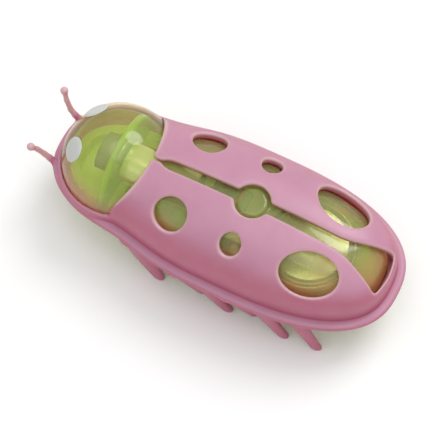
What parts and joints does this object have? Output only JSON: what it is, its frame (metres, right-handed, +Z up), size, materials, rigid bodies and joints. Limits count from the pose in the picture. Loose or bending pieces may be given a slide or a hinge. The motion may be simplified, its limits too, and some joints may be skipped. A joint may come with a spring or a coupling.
{
  "type": "vibration-driven robot bug",
  "caption": "Beetle-shaped vibrating robot toy: rubber cover with spot openings and legs, clear head dome, motor with eccentric weight, button cell and slide switch.",
  "frame": {"origin": "centre of the footprint on the floor plane", "axes": "+Z up, head towards -Y, +X towards the bug's left flank"},
  "size_m": [0.0204, 0.0485, 0.0164],
  "materials": {
    "cover_rubber": "satin soft rubber",
    "leg_rubber": "satin soft rubber",
    "lime_plastic": "translucent tinted plastic, glossy",
    "lime_plastic_solid": "tinted plastic, glossy",
    "eye_paint": "satin",
    "motor_steel": "nickel plated",
    "bearing_brass": "sintered",
    "magnet_metal": "plated",
    "black_plastic": "matt",
    "spring_brass": "bright",
    "coil_copper": "enamelled copper winding",
    "bright_steel": "bright",
    "weight_metal": "dark grey",
    "board_laminate": "solder resist",
    "red_insulation": "satin",
    "black_insulation": "satin",
    "nickel_leaf": "bright nickel",
    "cell_steel": "polished",
    "cell_fill": "compacted powder and gel"
  },
  "bodies": {
    "shell": {"rubber_cover": "cover_rubber", "upper_housing": "lime_plastic", "lower_housing": "lime_plastic_solid", "eye_left": "eye_paint", "eye_right": "eye_paint", "motor_can": "motor_steel", "motor_bearing": "bearing_brass", "motor_magnet": "magnet_metal", "motor_end_cap": "black_plastic", "motor_brushes": "spring_brass", "circuit_board": "board_laminate", "switch_case": "bright_steel", "switch_pins": "spring_brass", "red_lead": "red_insulation", "black_lead": "black_insulation", "contact_positive": "nickel_leaf", "contact_negative": "nickel_leaf", "housing_screws": "bright_steel"},
    "rotor": {"rotor_shaft": "bright_steel", "rotor_coil": "coil_copper", "rotor_commutator": "spring_brass", "eccentric_weight": "weight_metal"},
    "door": {"battery_door": "lime_plastic_solid", "battery_door_screw": "bright_steel"},
    "cell": {"cell_can": "cell_steel", "cell_filling": "cell_fill", "cell_gasket": "black_plastic", "cell_cap": "cell_steel"},
    "slider": {"switch_slider": "black_plastic"},
    "leg_left_1": {"leg_left_1": "leg_rubber"},
    "leg_left_2": {"leg_left_2": "leg_rubber"},
    "leg_left_3": {"leg_left_3": "leg_rubber"},
    "leg_left_4": {"leg_left_4": "leg_rubber"},
    "leg_left_5": {"leg_left_5": "leg_rubber"},
    "leg_left_6": {"leg_left_6": "leg_rubber"},
    "leg_right_1": {"leg_right_1": "leg_rubber"},
    "leg_right_2": {"leg_right_2": "leg_rubber"},
    "leg_right_3": {"leg_right_3": "leg_rubber"},
    "leg_right_4": {"leg_right_4": "leg_rubber"},
    "leg_right_5": {"leg_right_5": "leg_rubber"},
    "leg_right_6": {"leg_right_6": "leg_rubber"}
  },
  "joints": [
    {"name": "battery_door_drop", "type": "slide", "parent": "shell", "child": "door", "axis": [0, 0, -1], "range_m": [0, 0.014]},
    {"name": "cell_drop", "type": "slide", "parent": "shell", "child": "cell", "axis": [0, 0, -1], "range_m": [0, 0.014]},
    {"name": "eccentric_spin", "type": "hinge", "parent": "shell", "child": "rotor", "pos_m": [0, -0.0161, 0.0102], "axis": [0, 1, 0], "continuous": true},
    {"name": "switch_slide", "type": "slide", "parent": "shell", "child": "slider", "axis": [0, 1, 0], "range_m": [0, 0.002]},
    {"name": "leg_flex_left_1", "type": "hinge", "parent": "shell", "child": "leg_left_1", "pos_m": [0.00805, -0.0074, 0.00675], "axis": [1, 0, 0], "range_deg": [-6, 6], "stiffness_Nm_per_rad": 0.004},
    {"name": "leg_flex_left_2", "type": "hinge", "parent": "shell", "child": "leg_left_2", "pos_m": [0.00895, -0.0016, 0.00675], "axis": [1, 0, 0], "range_deg": [-6, 6], "stiffness_Nm_per_rad": 0.004},
    {"name": "leg_flex_left_3", "type": "hinge", "parent": "shell", "child": "leg_left_3", "pos_m": [0.00905, 0.0022, 0.00675], "axis": [1, 0, 0], "range_deg": [-6, 6], "stiffness_Nm_per_rad": 0.004},
    {"name": "leg_flex_left_4", "type": "hinge", "parent": "shell", "child": "leg_left_4", "pos_m": [0.00905, 0.0054, 0.00675], "axis": [1, 0, 0], "range_deg": [-6, 6], "stiffness_Nm_per_rad": 0.004},
    {"name": "leg_flex_left_5", "type": "hinge", "parent": "shell", "child": "leg_left_5", "pos_m": [0.0088, 0.0099, 0.00675], "axis": [1, 0, 0], "range_deg": [-6, 6], "stiffness_Nm_per_rad": 0.004},
    {"name": "leg_flex_left_6", "type": "hinge", "parent": "shell", "child": "leg_left_6", "pos_m": [0.0081, 0.0142, 0.00675], "axis": [1, 0, 0], "range_deg": [-6, 6], "stiffness_Nm_per_rad": 0.004},
    {"name": "leg_flex_right_1", "type": "hinge", "parent": "shell", "child": "leg_right_1", "pos_m": [-0.00805, -0.0074, 0.00675], "axis": [1, 0, 0], "range_deg": [-6, 6], "stiffness_Nm_per_rad": 0.004},
    {"name": "leg_flex_right_2", "type": "hinge", "parent": "shell", "child": "leg_right_2", "pos_m": [-0.00895, -0.0016, 0.00675], "axis": [1, 0, 0], "range_deg": [-6, 6], "stiffness_Nm_per_rad": 0.004},
    {"name": "leg_flex_right_3", "type": "hinge", "parent": "shell", "child": "leg_right_3", "pos_m": [-0.00905, 0.0022, 0.00675], "axis": [1, 0, 0], "range_deg": [-6, 6], "stiffness_Nm_per_rad": 0.004},
    {"name": "leg_flex_right_4", "type": "hinge", "parent": "shell", "child": "leg_right_4", "pos_m": [-0.00905, 0.0054, 0.00675], "axis": [1, 0, 0], "range_deg": [-6, 6], "stiffness_Nm_per_rad": 0.004},
    {"name": "leg_flex_right_5", "type": "hinge", "parent": "shell", "child": "leg_right_5", "pos_m": [-0.0088, 0.0099, 0.00675], "axis": [1, 0, 0], "range_deg": [-6, 6], "stiffness_Nm_per_rad": 0.004},
    {"name": "leg_flex_right_6", "type": "hinge", "parent": "shell", "child": "leg_right_6", "pos_m": [-0.0081, 0.0142, 0.00675], "axis": [1, 0, 0], "range_deg": [-6, 6], "stiffness_Nm_per_rad": 0.004}
  ],
  "couplings": [
    {"joint": "cell_drop", "follows": "battery_door_drop", "ratio": 1}
  ]
}
